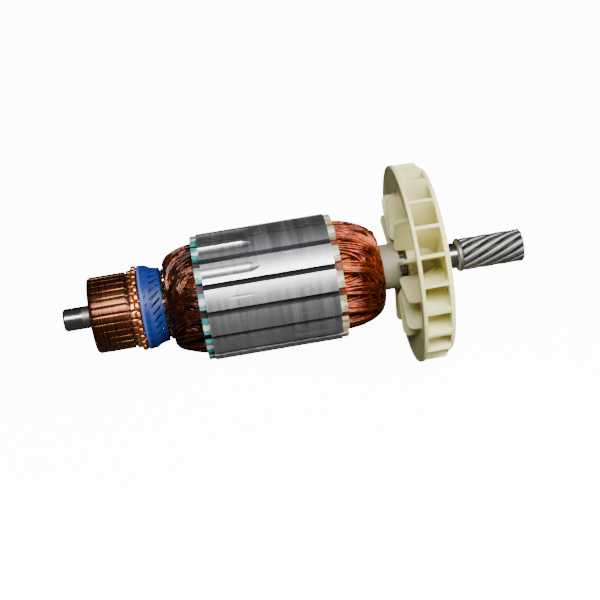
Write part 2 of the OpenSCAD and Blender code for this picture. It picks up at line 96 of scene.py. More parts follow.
# How the armature lies: on the fan's rim and the near edge of the core
LIE = math.atan((FAN_R - CORE_R) / (FAN_Z - CORE_Z))
LOW_X = -(JOURNAL_R - SHAFT_CHAMFER) * math.sin(LIE)
HIGH_X = SHAFT_L * math.cos(LIE) + PINION_TIP * math.sin(LIE)
REST_Z = FAN_R * math.cos(LIE) - FAN_Z * math.sin(LIE)
LAY = Matrix.Translation((-(LOW_X + HIGH_X) / 2 * MM, 0, REST_Z * MM)) @ Matrix.Rotation(
    math.pi / 2 - LIE, 4, "Y"
)


def polar(r, a, z):
    """A point r mm from the shaft's axis, a degrees round it and z mm along it, in metres."""
    return Vector((r * math.cos(math.radians(a)), r * math.sin(math.radians(a)), z)) * MM


def lay_down(mesh):
    """Moves a mesh drawn along the shaft's axis to where the armature lies."""
    mesh.transform(LAY)
    mesh.update()
    return mesh


# ---------------------------------------------------------------- camera, floor and lights


FLOOR_GLOW = 12.0
FLOOR_BOUNCE = (0.05, 0.05, 0.05)
ROOM_LIGHT = 0.10
CAMERA_ALONG = 57.19
CAMERA_AWAY = 456.16


def add_camera():
    """A long lens from a little above the shaft, so the fan's inlet shows past its rim."""
    raised = math.radians(17.0)
    yaw, pitch, roll = 0.0549, -0.01414, -0.16583
    ahead = Vector((math.sin(yaw) * math.cos(pitch), math.cos(yaw) * math.cos(pitch), math.sin(pitch)))
    side = Vector((math.cos(yaw), -math.sin(yaw), 0))
    over = side.cross(ahead)
    right = math.cos(roll) * side + math.sin(roll) * over
    up = -math.sin(roll) * side + math.cos(roll) * over
    rows = Matrix((right, up, -ahead)).transposed().to_4x4()
    # X runs along the shaft, and the camera stands off to the side, near the core's commutator end
    where = Matrix.Translation(Vector((CAMERA_ALONG, -CAMERA_AWAY, 0)) * MM) @ rows
    lift = Matrix.Rotation(-raised, 4, "X")
    middle = Matrix.Translation((-(LOW_X + HIGH_X) / 2 * MM, 0, REST_Z * MM))
    shaft_frame = middle @ Matrix.Rotation(-LIE, 4, "Y")
    data = bpy.data.cameras.new("camera")
    data.sensor_width = 36.0
    data.lens = 78.0
    data.clip_start = 0.01
    data.clip_end = 20.0
    camera = bpy.data.objects.new("camera", data)
    camera.matrix_world = shaft_frame @ lift @ where
    bpy.context.scene.collection.objects.link(camera)
    bpy.context.scene.camera = camera


def add_light(name, spot, aim, size, power):
    """A soft rectangular lamp that faces the point `aim`."""
    data = bpy.data.lights.new(name, "AREA")
    data.shape = "RECTANGLE"
    data.size, data.size_y = size
    data.energy = power
    lamp = bpy.data.objects.new(name, data)
    lamp.location = spot
    lamp.rotation_euler = (Vector(aim) - Vector(spot)).to_track_quat("-Z", "Y").to_euler()
    bpy.context.scene.collection.objects.link(lamp)


def add_floor():
    """A pale sweep: flat under the armature, curving up far behind it."""
    profile = [(-1.6, 0.0), (0.9, 0.0)]
    for i in range(1, 13):
        b = math.radians(90 * i / 12)
        profile.append((0.9 + 0.5 * math.sin(b), 0.5 - 0.5 * math.cos(b)))
    profile.append((1.4, 2.2))
    mesh = bpy.data.meshes.new("floor")
    verts = [(x, y, z) for y, z in profile for x in (-2.5, 2.5)]
    faces = [(2 * i, 2 * i + 1, 2 * i + 3, 2 * i + 2) for i in range(len(profile) - 1)]
    mesh.from_pydata(verts, [], faces)
    for poly in mesh.polygons:
        poly.use_smooth = True
    floor = bpy.data.objects.new("floor", mesh)
    bpy.context.scene.collection.objects.link(floor)
    paint = bpy.data.materials.new("pale_floor")
    paint.use_nodes = True
    tree = paint.node_tree
    shader = tree.nodes["Principled BSDF"]
    shader.inputs["Base Color"].default_value = (0.9, 0.9, 0.9, 1)
    shader.inputs["Roughness"].default_value = 0.9
    shader.inputs["Specular IOR Level"].default_value = 0.1
    shader.inputs["Emission Color"].default_value = (1, 1, 1, 1)
    shader.inputs["Emission Strength"].default_value = FLOOR_GLOW
    # The sweep glows white for the eye, but throws only a little light back up at the armature
    dull = tree.nodes.new("ShaderNodeBsdfDiffuse")
    dull.inputs["Color"].default_value = (*FLOOR_BOUNCE, 1)
    path = tree.nodes.new("ShaderNodeLightPath")
    either = tree.nodes.new("ShaderNodeMixShader")
    tree.links.new(path.outputs["Is Camera Ray"], either.inputs[0])
    tree.links.new(dull.outputs[0], either.inputs[1])
    tree.links.new(shader.outputs[0], either.inputs[2])
    tree.links.new(either.outputs[0], tree.nodes["Material Output"].inputs["Surface"])
    mesh.materials.append(paint)


def add_world():
    """A dim, even room: pale to look at, but giving little light."""
    world = bpy.data.worlds.new("studio")
    world.use_nodes = True
    tree = world.node_tree
    seen = tree.nodes["Background"]
    seen.inputs["Color"].default_value = (1, 1, 1, 1)
    seen.inputs["Strength"].default_value = 1.0
    room = tree.nodes.new("ShaderNodeBackground")
    room.inputs["Color"].default_value = (0.95, 0.97, 1, 1)
    room.inputs["Strength"].default_value = ROOM_LIGHT
    path = tree.nodes.new("ShaderNodeLightPath")
    either = tree.nodes.new("ShaderNodeMixShader")
    tree.links.new(path.outputs["Is Camera Ray"], either.inputs[0])
    tree.links.new(room.outputs[0], either.inputs[1])
    tree.links.new(seen.outputs[0], either.inputs[2])
    tree.links.new(either.outputs[0], tree.nodes["World Output"].inputs["Surface"])
    bpy.context.scene.world = world


add_camera()
add_world()
add_floor()
add_light("key", (0.2, -0.64, 0.58), (0, 0, 0.03), (1.3, 0.3), 30)
add_light("low_right", (0.24, -0.16, 0.012), (0.075, 0, 0.045), (0.1, 0.05), 0.5)

# ---------------------------------------------------------------- materials


class Finish:
    """A material under construction, with short calls for the nodes that every finish here uses."""

    def __init__(self, name, colour=(0.8, 0.8, 0.8), rough=0.5, metal=0.0):
        self.material = bpy.data.materials.new(name)
        self.material.use_nodes = True
        self.tree = self.material.node_tree
        self.shader = self.tree.nodes["Principled BSDF"]
        self.shader.inputs["Base Color"].default_value = (*colour, 1)
        self.shader.inputs["Roughness"].default_value = rough
        self.shader.inputs["Metallic"].default_value = metal
        self.coords = None
        self.bump_from = None

    def node(self, kind, **settings):
        n = self.tree.nodes.new(kind)
        for key, value in settings.items():
            if key in n.inputs:
                n.inputs[key].default_value = value
            else:
                setattr(n, key, value)
        return n

    def link(self, a, b):
        self.tree.links.new(a, b)

    def shaft_coords(self):
        """Object coordinates turned so that Z runs along the shaft's axis, from its commutator end."""
        if self.coords is None:
            back = LAY.inverted()
            turn = self.node("ShaderNodeMapping")
            turn.inputs["Rotation"].default_value = back.to_euler()
            turn.inputs["Location"].default_value = back.to_translation()
            self.link(self.node("ShaderNodeTexCoord").outputs["Object"], turn.inputs["Vector"])
            self.coords = turn.outputs["Vector"]
        return self.coords

    def stretched(self, scale):
        turn = self.node("ShaderNodeMapping")
        turn.inputs["Scale"].default_value = scale
        self.link(self.shaft_coords(), turn.inputs["Vector"])
        return turn.outputs["Vector"]

    def noise(self, scale, detail=3.0, rough=0.5, stretch=None):
        n = self.node("ShaderNodeTexNoise", Scale=scale, Detail=detail, Roughness=rough)
        self.link(self.stretched(stretch) if stretch else self.shaft_coords(), n.inputs["Vector"])
        return n.outputs["Fac"]

    def ramp(self, source, stops):
        n = self.node("ShaderNodeValToRGB")
        while len(n.color_ramp.elements) < len(stops):
            n.color_ramp.elements.new(0.5)
        for element, (at, colour) in zip(n.color_ramp.elements, stops):
            element.position = at
            element.color = (*colour, 1)
        self.link(source, n.inputs["Fac"])
        return n.outputs["Color"]

    def mix(self, factor, a, b):
        n = self.node("ShaderNodeMix", data_type="RGBA")
        for value, socket in ((factor, n.inputs[0]), (a, n.inputs[6]), (b, n.inputs[7])):
            if hasattr(value, "default_value"):
                self.link(value, socket)
            elif isinstance(value, (int, float)):
                socket.default_value = value
            else:
                socket.default_value = (*value, 1)
        return n.outputs[2]

    def math(self, operation, a, b=0.5):
        n = self.node("ShaderNodeMath", operation=operation)
        for value, socket in ((a, n.inputs[0]), (b, n.inputs[1])):
            if hasattr(value, "default_value"):
                self.link(value, socket)
            else:
                socket.default_value = value
        return n.outputs[0]

    def spread(self, source, low, high, to_low, to_high):
        n = self.node("ShaderNodeMapRange")
        n.inputs["From Min"].default_value = low
        n.inputs["From Max"].default_value = high
        n.inputs["To Min"].default_value = to_low
        n.inputs["To Max"].default_value = to_high
        self.link(source, n.inputs["Value"])
        return n.outputs["Result"]

    def colour(self, source):
        self.link(source, self.shader.inputs["Base Color"])

    def rough(self, source):
        self.link(source, self.shader.inputs["Roughness"])

    def bump(self, height, distance, strength=1.0):
        n = self.node("ShaderNodeBump", Strength=strength, Distance=distance)
        self.link(height, n.inputs["Height"])
        if self.bump_from is not None:
            self.link(self.bump_from, n.inputs["Normal"])
        self.bump_from = n.outputs["Normal"]
        self.link(self.bump_from, self.shader.inputs["Normal"])


def along_shaft(f):
    """How far along the shaft a point is, in millimetres from the commutator's end."""
    split = f.node("ShaderNodeSeparateXYZ")
    f.link(f.shaft_coords(), split.inputs[0])
    return f.math("MULTIPLY", split.outputs["Z"], 1000.0)


def around_shaft(f, count, first):
    """Where a point lies between two repeats of a feature around the shaft: 0 at the first, 1 at the next."""
    split = f.node("ShaderNodeSeparateXYZ")
    f.link(f.shaft_coords(), split.inputs[0])
    turn = f.math("ARCTAN2", split.outputs["Y"], split.outputs["X"])
    steps = f.math("MULTIPLY", f.math("SUBTRACT", f.math("DEGREES", turn), float(first)), count / 360)
    return f.math("FRACT", f.math("ADD", steps, float(count)))


def out_from_shaft(f):
    """A point's distance from the shaft's axis in millimetres."""
    split = f.node("ShaderNodeSeparateXYZ")
    f.link(f.shaft_coords(), split.inputs[0])
    x, y = split.outputs["X"], split.outputs["Y"]
    squares = f.math("ADD", f.math("MULTIPLY", x, x), f.math("MULTIPLY", y, y))
    return f.math("MULTIPLY", f.math("SQRT", squares), 1000.0)


def ground_steel():
    """Ground journals, with a duller worn length next to the commutator."""
    f = Finish("ground_steel", (0.42, 0.42, 0.43), 0.25, 1.0)
    turning = f.noise(60, 2, 0.6, (1, 1, 60))
    patches = f.noise(120, 4)
    bright = f.mix(patches, (0.22, 0.215, 0.20), (0.36, 0.35, 0.33))
    worn = f.spread(along_shaft(f), WORN_FROM, WORN_FROM + 0.7, 0.0, 1.0)
    near = f.math("MULTIPLY", worn, f.spread(along_shaft(f), 10.0, 20.0, 1.0, 0.0))
    f.colour(f.mix(near, bright, (0.24, 0.235, 0.22)))
    f.rough(f.math("ADD", f.spread(turning, 0.3, 0.7, 0.18, 0.24), f.math("MULTIPLY", near, 0.22)))
    f.bump(turning, 0.00001, 0.2)
    return f.material


def gear_steel():
    """Grey hobbed teeth, with painted shade darkening them down in the gaps."""
    f = Finish("hobbed_steel", (0.3, 0.3, 0.3), 0.36, 1.0)
    patches = f.noise(300, 4)
    # Painted shade: near black up to 4 mm from the axis, fading out by 5 mm, down in the tooth gaps.
    painted_gap_shade = f.spread(out_from_shaft(f), 4.0, 5.0, 0.0, 1.0)
    f.colour(f.mix(painted_gap_shade, (0.04, 0.04, 0.04), f.mix(patches, (0.15, 0.148, 0.143), (0.21, 0.207, 0.2))))
    f.rough(f.spread(patches, 0.3, 0.7, 0.4, 0.52))
    return f.material


SHEET_LINES = 524.0


def core_steel():
    """Turned edges of thin laminations, with a fine line between each two."""
    f = Finish("core_laminations", (0.6, 0.6, 0.62), 0.3, 1.0)
    sheets = f.node("ShaderNodeTexWave", wave_type="BANDS", bands_direction="Z", wave_profile="SIN")
    sheets.inputs["Scale"].default_value = SHEET_LINES
    f.link(f.shaft_coords(), sheets.inputs["Vector"])
    lines = f.spread(sheets.outputs["Fac"], 0.0, 0.35, 0.0, 1.0)
    drag = f.noise(30, 2, 0.6, (1, 1, 30))
    patches = f.noise(70, 3)
    base = f.mix(drag, (0.56, 0.56, 0.575), (0.70, 0.70, 0.715))
    base = f.mix(lines, (0.44, 0.44, 0.45), base)
    f.colour(f.mix(f.spread(patches, 0.4, 0.75, 0.0, 0.4), base, (0.38, 0.37, 0.37)))
    f.rough(f.spread(drag, 0.3, 0.7, 0.32, 0.44))
    return f.material


def commutator_copper():
    """Brown from running, with finer bright tracks, and fresh copper on the hooks."""
    f = Finish("commutator_copper", (0.4, 0.16, 0.07), 0.32, 1.0)
    tracks = f.noise(50, 3, 0.7, (1, 1, 45))
    patches = f.noise(150, 4)
    worn = f.mix(f.spread(tracks, 0.3, 0.7, 0, 1), (0.13, 0.038, 0.016), (0.27, 0.095, 0.04))
    worn = f.mix(f.spread(patches, 0.4, 0.8, 0, 0.5), worn, (0.07, 0.022, 0.012))
    risers = f.spread(along_shaft(f), RISER_Z - 0.2, RISER_Z + 1.2, 0.0, 1.0)
    f.colour(f.mix(risers, worn, (0.80, 0.29, 0.10)))
    f.rough(f.math("ADD", f.spread(tracks, 0.3, 0.7, 0.24, 0.34), f.math("MULTIPLY", risers, 0.06)))
    f.bump(tracks, 0.00001, 0.25)
    return f.material


def band_resin():
    """Deep blue, paler along its rim."""
    f = Finish("blue_resin", (0.01, 0.04, 0.22), 0.34, 0.0)
    patches = f.noise(400, 4, 0.6)
    blue = f.mix(patches, (0.002, 0.012, 0.09), (0.004, 0.022, 0.16))
    rim = f.spread(along_shaft(f), BAND_Z + 0.7, BAND_Z + 1.25, 1.0, 0.0)
    f.colour(f.mix(rim, blue, (0.04, 0.09, 0.32)))
    f.shader.inputs["Specular IOR Level"].default_value = 0.35
    f.rough(f.spread(patches, 0.3, 0.7, 0.36, 0.55))
    f.bump(patches, 0.00004, 0.5)
    return f.material


def plain_finish(name, dark, light, rough):
    """A finish in two close tones, a little duller in some patches than in others."""
    f = Finish(name, dark, rough)
    patches = f.noise(200.0, 4, 0.6)
    f.colour(f.mix(f.spread(patches, 0.3, 0.7, 0, 1), dark, light))
    f.rough(f.spread(patches, 0.3, 0.7, rough * 0.8, min(1, rough * 1.2)))
    return f.material


def insulator_paint():
    """Cream mouldings; at the commutator's end teal varnish has run on to both sides of each block."""
    f = Finish("painted_insulator", (0.6, 0.6, 0.5), 0.45)
    patches = f.noise(700, 4, 0.7)
    cream = f.mix(f.spread(patches, 0.3, 0.7, 0, 1), (0.5, 0.49, 0.36), (0.74, 0.73, 0.6))
    side = f.math("ABSOLUTE", f.math("SUBTRACT", around_shaft(f, SLOT_COUNT, SLOT_PHASE), 0.5))
    ragged = f.math("ADD", side, f.math("MULTIPLY", f.math("SUBTRACT", patches, 0.5), 0.5))
    teal = f.mix(f.noise(900, 3), (0.004, 0.10, 0.12), (0.05, 0.28, 0.28))
    olive = f.mix(f.noise(900, 3), (0.20, 0.18, 0.06), (0.42, 0.38, 0.2))
    left = f.spread(along_shaft(f), MID_CORE, MID_CORE + 1, 1.0, 0.0)
    f.colour(f.mix(f.spread(ragged, 0.09, 0.13, 0.0, 1.0), cream, f.mix(left, olive, teal)))
    f.rough(f.spread(patches, 0.3, 0.7, 0.35, 0.55))
    f.bump(patches, 0.00008, 0.6)
    return f.material


def painted_shade_wedge():
    """Fibre strip painted near black as shade in the slot mouths, rubbed a little paler in places."""
    f = Finish("slot_wedge", (0.01, 0.01, 0.015), 0.75)
    rubbed = f.noise(60, 3, 0.6, (1, 1, 0.2))
    # The near-black tones are painted shade for the dark slot mouths.
    f.colour(f.mix(f.spread(rubbed, 0.5, 0.8, 0, 1), (0.006, 0.006, 0.010), (0.05, 0.05, 0.06)))
    f.shader.inputs["Specular IOR Level"].default_value = 0.12
    return f.material


def slot_paper():
    """Varnished paper: blue painted dark as shade in the slots, teal where it stands out at the commutator's
    end.
    """
    f = Finish("slot_paper", (0.05, 0.05, 0.08), 0.5)
    patches = f.noise(500, 3)
    # Painted shade: the paper inside the slots is blue darkened to near black.
    painted_slot_shade = f.mix(patches, (0.012, 0.014, 0.03), (0.03, 0.04, 0.09))
    left = f.mix(patches, (0.02, 0.13, 0.15), (0.12, 0.30, 0.28))
    right = f.mix(patches, (0.22, 0.20, 0.10), (0.45, 0.42, 0.28))
    where = along_shaft(f)
    slot = f.mix(f.spread(where, CORE_Z - 0.1, CORE_Z + 0.2, 0.0, 1.0), left, painted_slot_shade)
    f.colour(f.mix(f.spread(where, CORE_END - 0.2, CORE_END + 0.1, 0.0, 1.0), slot, right))
    f.shader.inputs["Specular IOR Level"].default_value = 0.2
    return f.material


def wire_enamel(name, dark, mid, light, rough):
    """Enamel over copper: each strand a little different, dark where the varnish has pooled, with painted
    shade on the strands nearer the shaft.
    """
    f = Finish(name, mid, rough, 0.85)
    pooled = f.noise(160, 3, 0.6)
    strands = f.noise(900, 2, 0.5)
    both = f.math("ADD", f.math("MULTIPLY", pooled, 0.6), f.math("MULTIPLY", strands, 0.4))
    base = f.ramp(both, [(0.34, dark), (0.52, mid), (0.68, light)])
    # Painted shade: strands nearer the shaft than 13 mm are darkened towards near black, by almost half at 9
    # mm.
    depth = f.spread(out_from_shaft(f), 9.0, 13.0, 0.55, 1.0)
    f.colour(f.mix(depth, (0.01, 0.003, 0.002), base))
    f.shader.inputs["Coat Weight"].default_value = 0.5
    f.shader.inputs["Coat Roughness"].default_value = 0.12
    return f.material


def slot_wire():
    """Ends of the coil sides: dark varnished wire at the commutator's end, bright enamel at the fan's."""
    f = Finish("slot_wire", (0.3, 0.1, 0.03), 0.6, 0.3)
    strands = f.noise(1400, 2)
    dark = f.mix(f.spread(strands, 0.35, 0.65, 0, 1), (0.006, 0.003, 0.003), (0.05, 0.014, 0.006))
    bright = f.mix(f.spread(strands, 0.35, 0.65, 0, 1), (0.01, 0.002, 0.001), (0.22, 0.04, 0.01))
    f.colour(f.mix(f.spread(along_shaft(f), MID_CORE, MID_CORE + 1, 0.0, 1.0), dark, bright))
    f.bump(strands, 0.0001, 0.8)
    return f.material


def fan_moulding():
    """Yellowed cream plastic with a slight waxy sheen and specks of dust."""
    f = Finish("fan_plastic", (0.8, 0.78, 0.55), 0.42)
    clouds = f.noise(40, 4, 0.6)
    specks = f.noise(1200, 2, 0.5)
    base = f.mix(f.spread(clouds, 0.3, 0.7, 0, 1), (0.72, 0.67, 0.26), (0.84, 0.80, 0.42))
    f.colour(f.mix(f.spread(specks, 0.62, 0.75, 0.0, 0.25), base, (0.42, 0.37, 0.15)))
    f.rough(f.spread(clouds, 0.3, 0.7, 0.36, 0.5))
    f.shader.inputs["Subsurface Weight"].default_value = 0.12
    f.shader.inputs["Subsurface Radius"].default_value = (0.002, 0.0018, 0.001)
    f.bump(f.noise(250, 3), 0.00003, 0.4)
    return f.material


FINISH = {
    "shaft_steel": ground_steel(),
    "gear_steel": gear_steel(),
    "core_steel": core_steel(),
    "commutator_copper": commutator_copper(),
    "mica": plain_finish("undercut_mica", (0.02, 0.012, 0.01), (0.06, 0.035, 0.02), 0.8),
    "brown_moulding": plain_finish("brown_moulding", (0.05, 0.025, 0.015), (0.09, 0.045, 0.03), 0.5),
    "enamelled_wire": wire_enamel(
        "copper_red_enamel", (0.02, 0.003, 0.001), (0.27, 0.034, 0.004), (0.62, 0.12, 0.018), 0.3),
    "varnished_wire": wire_enamel(
        "dark_varnished_copper", (0.008, 0.003, 0.002), (0.09, 0.02, 0.006), (0.5, 0.13, 0.03), 0.26),
    "blue_resin": band_resin(),
    "black_cord": plain_finish("varnished_cord", (0.008, 0.008, 0.01), (0.02, 0.02, 0.022), 0.35),
    "insulator": insulator_paint(),
    "liner": slot_paper(),
    "wedge": painted_shade_wedge(),
    "sleeve": plain_finish("sleeve_moulding", (0.30, 0.28, 0.18), (0.37, 0.35, 0.24), 0.5),
    "fan_plastic": fan_moulding(),
}

record_slots = {s["node"]: s["material_slot"] for s in frame["record"]["subparts"]}
for name, obj in NODES.items():
    obj.data.materials.clear()
    obj.data.materials.append(slot_wire() if name == "slot_coils" else FINISH[record_slots[name]])

# ---------------------------------------------------------------- building tools


class Tree:
    """A Geometry Nodes tree under construction, with named inputs for its sizes."""

    def __init__(self, name, inputs):
        self.group = bpy.data.node_groups.new(name, "GeometryNodeTree")
        face = self.group.interface
        face.new_socket("Geometry", in_out="INPUT", socket_type="NodeSocketGeometry")
        face.new_socket("Geometry", in_out="OUTPUT", socket_type="NodeSocketGeometry")
        self.ids = {
            label: face.new_socket(label, in_out="INPUT", socket_type="NodeSocket" + kind).identifier
            for label, kind in inputs
        }
        self.given = self.group.nodes.new("NodeGroupInput").outputs

    def node(self, kind, **settings):
        n = self.group.nodes.new(kind)
        for key, value in settings.items():
            setattr(n, key, value)
        return n

    def put(self, value, socket):
        if isinstance(value, bpy.types.NodeSocket):
            self.group.links.new(value, socket)
        else:
            socket.default_value = value

    def math(self, operation, a, b=0.0):
        n = self.node("ShaderNodeMath", operation=operation)
        self.put(a, n.inputs[0])
        self.put(b, n.inputs[1])
        return n.outputs[0]

    def vector(self, operation, a, b):
        n = self.node("ShaderNodeVectorMath", operation=operation)
        self.put(a, n.inputs[0])
        self.put(b, n.inputs["Scale"] if operation == "SCALE" else n.inputs[1])
        return n.outputs[0]

    def random(self, low, high, which, seed):
        n = self.node("FunctionNodeRandomValue", data_type="FLOAT")
        floats = [s for s in n.inputs if s.type == "VALUE"]
        self.put(low, floats[0])
        self.put(high, floats[1])
        self.put(which, n.inputs["ID"])
        self.put(seed, n.inputs["Seed"])
        return next(s for s in n.outputs if s.type == "VALUE")

    def finish(self, geometry):
        real = self.node("GeometryNodeRealizeInstances")
        self.put(geometry, real.inputs["Geometry"])
        paint = self.node("GeometryNodeSetMaterial")
        self.put(real.outputs[0], paint.inputs["Geometry"])
        self.put(self.given["Finish"], paint.inputs["Material"])
        out = self.group.nodes.new("NodeGroupOutput")
        self.put(paint.outputs[0], out.inputs[0])
        return self


def ring_tree():
    """Repeats a piece, drawn on one side of the shaft, evenly around it."""
    t = Tree(
        "around_the_shaft",
        [("Piece", "Object"), ("Count", "Int"), ("First angle", "Float"), ("Finish", "Material")],
    )
    points = t.node("GeometryNodePoints")
    t.put(t.given["Count"], points.inputs["Count"])
    index = t.node("GeometryNodeInputIndex").outputs[0]
    step = t.math("DIVIDE", 360.0, t.given["Count"])
    angle = t.math("RADIANS", t.math("ADD", t.math("MULTIPLY", index, step), t.given["First angle"]))
    turn = t.node("ShaderNodeCombineXYZ")
    t.put(angle, turn.inputs["Z"])
    piece = t.node("GeometryNodeObjectInfo", transform_space="ORIGINAL")
    t.put(t.given["Piece"], piece.inputs["Object"])
    place = t.node("GeometryNodeInstanceOnPoints")
    t.put(points.outputs[0], place.inputs["Points"])
    t.put(piece.outputs["Geometry"], place.inputs["Instance"])
    t.put(turn.outputs[0], place.inputs["Rotation"])
    return t.finish(place.outputs[0])


def strand_tree():
    """Makes each path a bundle of wires, every one with its own depth, sweep and place in the slot."""
    t = Tree(
        "wound_strands",
        [("Wires", "Int"), ("Wire radius", "Float"), ("Depth", "Float"), ("Slot width", "Float"),
         ("Fan out", "Float"), ("Wander", "Float"), ("Seed", "Int"), ("Finish", "Material")],
    )
    curves = t.node("GeometryNodeMeshToCurve")
    t.put(t.given["Geometry"], curves.inputs[0])
    copies = t.node("GeometryNodeDuplicateElements", domain="SPLINE")
    t.put(curves.outputs[0], copies.inputs["Geometry"])
    t.put(t.given["Wires"], copies.inputs["Amount"])
    whose = t.node("GeometryNodeFieldOnDomain", domain="CURVE", data_type="INT")
    t.put(t.node("GeometryNodeInputIndex").outputs[0], whose.inputs[0])
    wire = whose.outputs[0]
    along = t.node("GeometryNodeSplineParameter").outputs["Factor"]
    free = t.math("SINE", t.math("MULTIPLY", along, math.pi))
    seed = t.given["Seed"]
    here = t.node("GeometryNodeInputPosition").outputs[0]
    deeper = t.math("SUBTRACT", 1.0, t.math("MULTIPLY", t.random(0.0, 1.0, wire, seed), t.given["Depth"]))
    shrunk = t.vector("SCALE", here, deeper)
    side = t.math("MULTIPLY", t.random(-0.5, 0.5, wire, t.math("ADD", seed, 1.0)), t.given["Slot width"])
    sweep = t.math("MULTIPLY", t.random(-0.5, 0.5, wire, t.math("ADD", seed, 2.0)), t.given["Fan out"])
    angle = t.math("RADIANS", t.math("ADD", side, t.math("MULTIPLY", sweep, free)))
    turned = t.node("ShaderNodeVectorRotate", rotation_type="Z_AXIS")
    t.put(shrunk, turned.inputs["Vector"])
    t.put(angle, turned.inputs["Angle"])
    wave = t.node("ShaderNodeTexNoise", noise_dimensions="4D")
    t.put(here, wave.inputs["Vector"])
    t.put(t.math("MULTIPLY", wire, 3.7), wave.inputs["W"])
    t.put(180.0, wave.inputs["Scale"])
    t.put(1.0, wave.inputs["Detail"])
    either_way = t.vector("SUBTRACT", wave.outputs["Color"], (0.5, 0.5, 0.5))
    stray = t.vector("SCALE", either_way, t.math("MULTIPLY", free, t.given["Wander"]))
    moved = t.node("GeometryNodeSetPosition")
    t.put(copies.outputs[0], moved.inputs["Geometry"])
    t.put(t.vector("ADD", turned.outputs[0], stray), moved.inputs["Position"])
    profile = t.node("GeometryNodeCurvePrimitiveCircle")
    t.put(6, profile.inputs["Resolution"])
    t.put(t.given["Wire radius"], profile.inputs["Radius"])
    tube = t.node("GeometryNodeCurveToMesh")
    t.put(moved.outputs[0], tube.inputs["Curve"])
    t.put(profile.outputs[0], tube.inputs["Profile Curve"])
    t.put(True, tube.inputs["Fill Caps"])
    smooth = t.node("GeometryNodeSetShadeSmooth")
    t.put(tube.outputs[0], smooth.inputs["Geometry"])
    return t.finish(smooth.outputs[0])


def cord_tree():
    """Makes a path a cord of two plies that turn around each other."""
    t = Tree("twisted_cord", [("Cord radius", "Float"), ("Turns", "Float"), ("Finish", "Material")])
    curves = t.node("GeometryNodeMeshToCurve")
    t.put(t.given["Geometry"], curves.inputs[0])
    along = t.node("GeometryNodeSplineParameter").outputs["Factor"]
    tilt = t.node("GeometryNodeSetCurveTilt")
    t.put(curves.outputs[0], tilt.inputs[0])
    t.put(t.math("MULTIPLY", t.math("MULTIPLY", along, t.given["Turns"]), 2 * math.pi), tilt.inputs["Tilt"])
    plies = t.node("GeometryNodeJoinGeometry")
    for side in (-0.5, 0.5):
        ply = t.node("GeometryNodeCurvePrimitiveCircle")
        t.put(7, ply.inputs["Resolution"])
        t.put(t.math("MULTIPLY", t.given["Cord radius"], 0.56), ply.inputs["Radius"])
        place = t.node("GeometryNodeTransform")
        t.put(ply.outputs[0], place.inputs["Geometry"])
        shift = t.node("ShaderNodeCombineXYZ")
        t.put(t.math("MULTIPLY", t.given["Cord radius"], side), shift.inputs["X"])
        t.put(shift.outputs[0], place.inputs["Translation"])
        t.put(place.outputs[0], plies.inputs[0])
    tube = t.node("GeometryNodeCurveToMesh")
    t.put(tilt.outputs[0], tube.inputs["Curve"])
    t.put(plies.outputs[0], tube.inputs["Profile Curve"])
    t.put(True, tube.inputs["Fill Caps"])
    smooth = t.node("GeometryNodeSetShadeSmooth")
    t.put(tube.outputs[0], smooth.inputs["Geometry"])
    return t.finish(smooth.outputs[0])


RING = ring_tree()
STRANDS = strand_tree()
CORD = cord_tree()


def paths_object(name, paths):
    """An object of open lines, one for each path of points."""
    verts, edges = [], []
    for path in paths:
        edges += [(len(verts) + i, len(verts) + i + 1) for i in range(len(path) - 1)]
        verts += path
    mesh = bpy.data.meshes.new(name)
    mesh.from_pydata(verts, edges, [])
    obj = bpy.data.objects.new(name, mesh)
    bpy.context.scene.collection.objects.link(obj)
    return obj


def solid_object(name, bm):
    """An object of a closed shape, with its faces turned outwards."""
    bmesh.ops.recalc_face_normals(bm, faces=bm.faces)
    mesh = bpy.data.meshes.new(name)
    bm.to_mesh(mesh)
    bm.free()
    obj = bpy.data.objects.new(name, mesh)
    bpy.context.scene.collection.objects.link(obj)
    return obj


def run_tree(obj, tree, values):
    """The mesh that a tree makes of an object, given its inputs by name."""
    modifier = obj.modifiers.new("shape", "NODES")
    modifier.node_group = tree.group
    for label, value in values.items():
        modifier[tree.ids[label]] = value
    return settle(obj)


def settle(obj):
    """The plain mesh of an object with its modifiers applied and then taken off."""
    bpy.context.view_layer.update()
    graph = bpy.context.evaluated_depsgraph_get()
    mesh = bpy.data.meshes.new_from_object(obj.evaluated_get(graph))
    obj.modifiers.clear()
    return mesh


def piece(name, mesh, slot, *nodes):
    """A finished piece: laid down, riding on the armature and standing for its CAD nodes."""
    obj = bpy.data.objects.new(name, lay_down(mesh))
    bpy.context.scene.collection.objects.link(obj)
    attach(obj, BODY)
    if nodes:
        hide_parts(*nodes)
    return obj


def around(name, one, count, first, slot, *nodes):
    """Repeats the object `one` around the shaft as one piece, and drops the single."""
    empty = bpy.data.meshes.new(name + "_ring")
    holder = bpy.data.objects.new(name + "_ring", empty)
    bpy.context.scene.collection.objects.link(holder)
    values = {"Piece": one, "Count": count, "First angle": float(first), "Finish": FINISH[slot]}
    mesh = run_tree(holder, RING, values)
    bpy.data.objects.remove(holder)
    bpy.data.objects.remove(one)
    return piece(name, mesh, slot, *nodes)


def rounded(obj, width, segments=2, angle=30):
    """Eases the sharp edges of an object."""
    ease = obj.modifiers.new("eased", "BEVEL")
    ease.width = width * MM
    ease.segments = segments
    ease.limit_method = "ANGLE"
    ease.angle_limit = math.radians(angle)
    ease.harden_normals = True
    mesh = settle(obj)
    for poly in mesh.polygons:
        poly.use_smooth = True
    obj.data = mesh
    return obj


# ---------------------------------------------------------------- commutator


